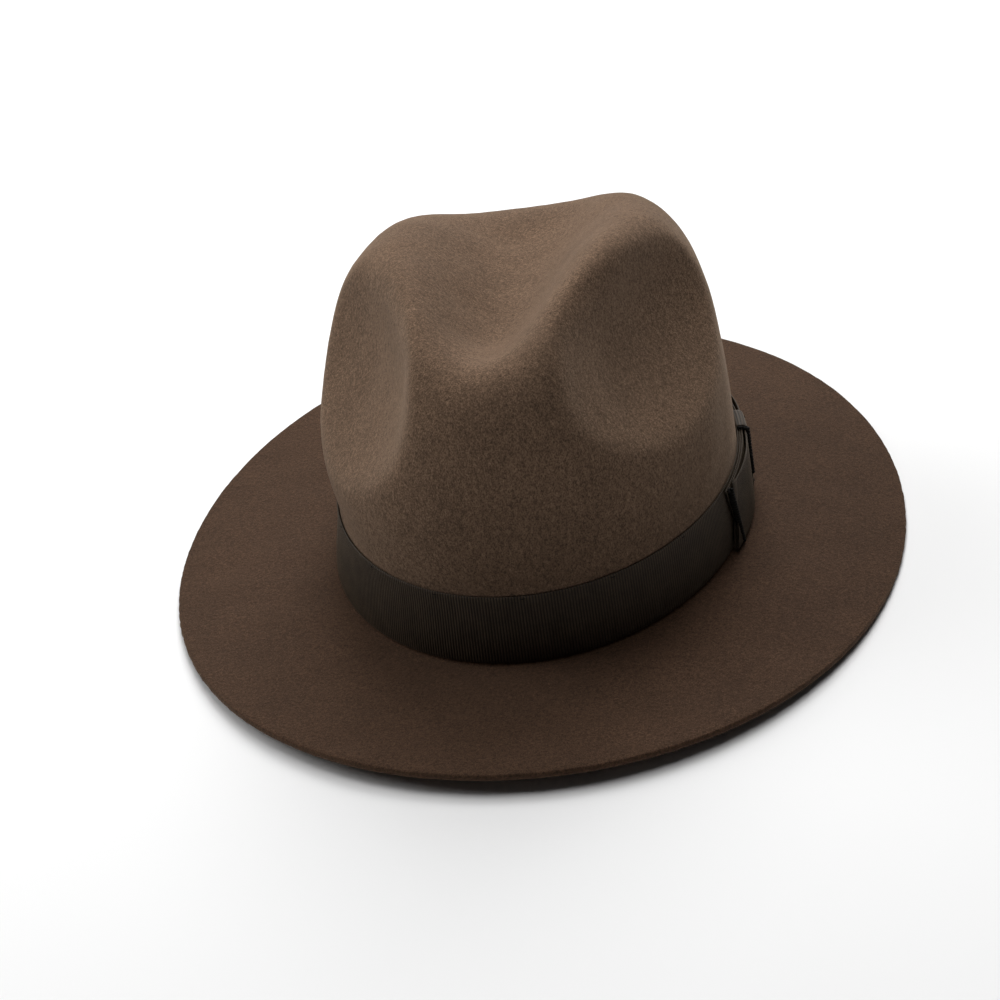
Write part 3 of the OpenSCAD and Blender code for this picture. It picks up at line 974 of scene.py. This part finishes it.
def small_bow():
    """The narrow ribbon bow sewn to the sweatband's join."""
    low, high = SWEAT_LOW + 6, SWEAT_LOW + 12
    made = []
    for way in (-1, 1):
        path = u_turn(BACK + way * 0.5, BACK + way * 11, 0.95, 1.7, 0.9)
        made.append(ribbon("small_loop", in_hat, path, low, high, small_look, scale=0.5)[0])
    knot = [
        (low - 0.2, 0.7), (low - 0.5, 1.4), (low + 0.4, 2.4), ((low + high) / 2, 2.8),
        (high - 0.4, 2.4), (high + 0.5, 1.4), (high + 0.2, 0.7),
    ]

    def up_band(along, across, out):
        """Ribbon that runs up the sweatband's inner face."""
        return in_hat(across, along, out)

    made.append(ribbon("small_knot", up_band, knot, BACK - 2, BACK + 2, small_look, scale=0.5)[0])
    place(join("small_bow", made), "bow_ribbon", "sweatband_bow")


def tag():
    """The blank cloth tag sewn behind the join."""
    near, far = (arc_at(math.radians(d)) for d in (72, 80))
    low, high = SWEAT_LOW + 12, SWEAT_LOW + 24
    piece = plate(
        "blank_tag", in_hat, (near, far), (low, high),
        out=0.02, thick=0.4, material=tag_look, round_off=0.5,
    )
    place(piece, "tag", "size_tag")
    made = [
        stitch(in_hat, x, z, out=0.45, over=1.2, up=0, radius=0.14, look=thread_look)
        for x in (near + 1, far - 2) for z in (low + 1, high - 1)
    ]
    stitches("tag_stitches", "thread", made)


small_look = ribbon_material("small_ribbon", (0.03, 0.024, 0.018))
leather = sweatband()
sweatband_details()
small_bow()
tag()
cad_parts["sweatband_reed"].data.materials.clear()
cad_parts["sweatband_reed"].data.materials.append(reed_look)

# ---------------------------------------------------------------- lining
TIP_TURN = 58  # degrees up the crown's curve to the lining's seam
CORD_R = 0.75
CORD_TWISTS = 140


def lining_skin(v, depth, folds):
    """Satin below the felt: depth down, and gathered inwards by folds."""
    return skin(angles, v) - (depth + folds)[..., None] * normal(angles, v)


def gathers(v, first, last, high):
    """Soft folds that run up to the piping and fade away from it."""
    near = ease((v - first) / (last - first))
    drift = 0.5 * np.sin(3 * angles + 1) + 0.4 * np.sin(5 * angles)
    wave = 0.5 + 0.5 * np.sin(46 * angles + drift * 2 + 1.2 * np.sin(11 * angles))
    return high * near * wave + 0.15 * near


def lining_wall():
    """The satin round the inside of the crown, gathered up to the piping."""
    first, last = v_at(SWEAT_TOP - 8), 2 + (TIP_TURN - 1.2) / 90
    v = np.linspace(first, last, 60)[:, None]
    folds = gathers(v, first, last, 0.9)
    out = lining_skin(v, LINING_OUT, 0 * folds)
    inside = lining_skin(v, LINING_IN, folds)
    both = np.concatenate([out, inside[::-1]])
    piece = loft("lining_wall", both, satin_look, wrap_rows=True, wrap_cols=True)
    place(piece, "lining", "lining_side")


def lining_top():
    """The satin oval under the crown's top, gathered at its edge."""
    first, last = 2 + TIP_TURN / 90, 2.985
    v = np.linspace(first, last, 60)[:, None]
    folds = gathers(v, last, first, 0.45)
    out = lining_skin(v, LINING_OUT, 0 * folds)
    inside = lining_skin(v, LINING_IN, folds)
    poles = np.array([inside[-1].mean(0), out[-1].mean(0)])
    piece = dome("lining_top", np.concatenate([inside[::-1], out]), satin_look, poles)
    place(piece, "lining", "lining_tip")


def piping():
    """The corded seam of the lining: a round cord with a threefold twist."""
    v = np.full((1, 1), 2 + (TIP_TURN - 0.6) / 90)
    line = (skin(angles, v) - (LINING_IN + 0.2 + CORD_R) * normal(angles, v))[0]
    ahead = unit(np.roll(line, -1, 0) - np.roll(line, 1, 0))
    side = unit(np.cross(ahead, [0, 0, 1]))
    up = np.cross(side, ahead)
    turn = np.linspace(0, 2 * math.pi, 12, endpoint=False)
    gone = np.linspace(0, 1, len(line), endpoint=False)[:, None]
    twisted = turn[None, :] + 2 * math.pi * CORD_TWISTS * gone
    size = CORD_R * (1 + 0.1 * np.cos(3 * twisted))
    ring = side[:, None] * np.cos(turn)[None, :, None] + up[:, None] * np.sin(turn)[None, :, None]
    cord = line[:, None] + size[..., None] * ring
    piece = loft("piping", cord, piping_look, wrap_rows=True, wrap_cols=True)
    place(piece, "piping", "lining_piping")


lining_wall()
lining_top()
piping()


# ---------------------------------------------------------------- floor
FLOOR_HALF = 4000.0
GLOW_FROM, GLOW_TO, GLOW = 0.9, 3.0, 0.8  # metres from the middle, and how strong at the end


def floor():
    """A pale floor that glows a little far away, where the lights don't reach it."""
    material, tree, shader = new_material("floor", (0.86, 0.86, 0.86), 0.9)
    length = tree.nodes.new("ShaderNodeVectorMath")
    length.operation = "LENGTH"
    tree.links.new(coordinates(tree), length.inputs[0])
    shader.inputs["Emission Color"].default_value = (1, 1, 1, 1)
    glow = spread(tree, length.outputs["Value"], GLOW_FROM, GLOW_TO, 0.0, GLOW)
    tree.links.new(glow, shader.inputs["Emission Strength"])
    ends = (-FLOOR_HALF, FLOOR_HALF)
    grid = [[(x, y, 0) for x in ends] for y in ends]
    piece = loft("floor", grid, material, flat=True)


floor()


# ---------------------------------------------------------------- light and camera
AIM = (0, 0, 0.05)
LIGHT_SIZE = 1.4
WORLD_GLOW = 0.03


def area_light(name, at, power):
    """A round soft light, in watts, that faces the hat."""
    lamp = bpy.data.lights.new(name, "AREA")
    lamp.shape, lamp.size, lamp.energy = "DISK", LIGHT_SIZE, power
    piece = bpy.data.objects.new(name, lamp)
    piece.location = at
    piece.rotation_euler = (Vector(AIM) - Vector(at)).to_track_quat("-Z", "Y").to_euler()
    bpy.context.scene.collection.objects.link(piece)


def studio():
    """Soft lights from above, behind and the left, in a nearly dark world."""
    area_light("overhead", (0, 0.07, 1.95), 16)
    area_light("behind", (0, 1.22, 1.5), 30)
    area_light("low_behind", (0, 1.79, 0.7), 9)
    area_light("left", (-1.56, 0, 1.14), 16)
    world = bpy.data.worlds.new("studio")
    bpy.context.scene.world = world
    world.use_nodes = True
    background = world.node_tree.nodes["Background"]
    background.inputs["Color"].default_value = (1, 1, 1, 1)
    background.inputs["Strength"].default_value = WORLD_GLOW
    bpy.context.scene.view_settings.view_transform = "Standard"


studio()

AZIMUTH, ELEVATION, ROLL = (math.radians(d) for d in (13.3, 31.0, -7.1))
DISTANCE = 1.1
LENS, SENSOR = 94.25, 36
AIM_RIGHT, AIM_UP, AIM_Z = -0.0162, -0.0250, 0.0499


def camera():
    """The camera in front of the hat, above it and a little to the wearer's left, rolled."""
    level_part = math.cos(ELEVATION)
    away = Vector((
        math.sin(AZIMUTH) * level_part, -math.cos(AZIMUTH) * level_part, math.sin(ELEVATION)
    ))
    right = (-away).cross(Vector((0, 0, 1))).normalized()
    up = right.cross(-away)
    aim = Vector((0, 0, AIM_Z)) + right * AIM_RIGHT + up * AIM_UP
    turned_right = right * math.cos(ROLL) + up * math.sin(ROLL)
    turned_up = -right * math.sin(ROLL) + up * math.cos(ROLL)
    lens = bpy.data.cameras.new("camera")
    lens.lens, lens.sensor_width = LENS, SENSOR
    eye = bpy.data.objects.new("camera", lens)
    eye.matrix_world = Matrix.Translation(aim + away * DISTANCE) @ Matrix(
        (turned_right, turned_up, away)
    ).transposed().to_4x4()
    bpy.context.scene.collection.objects.link(eye)
    bpy.context.scene.camera = eye


camera()
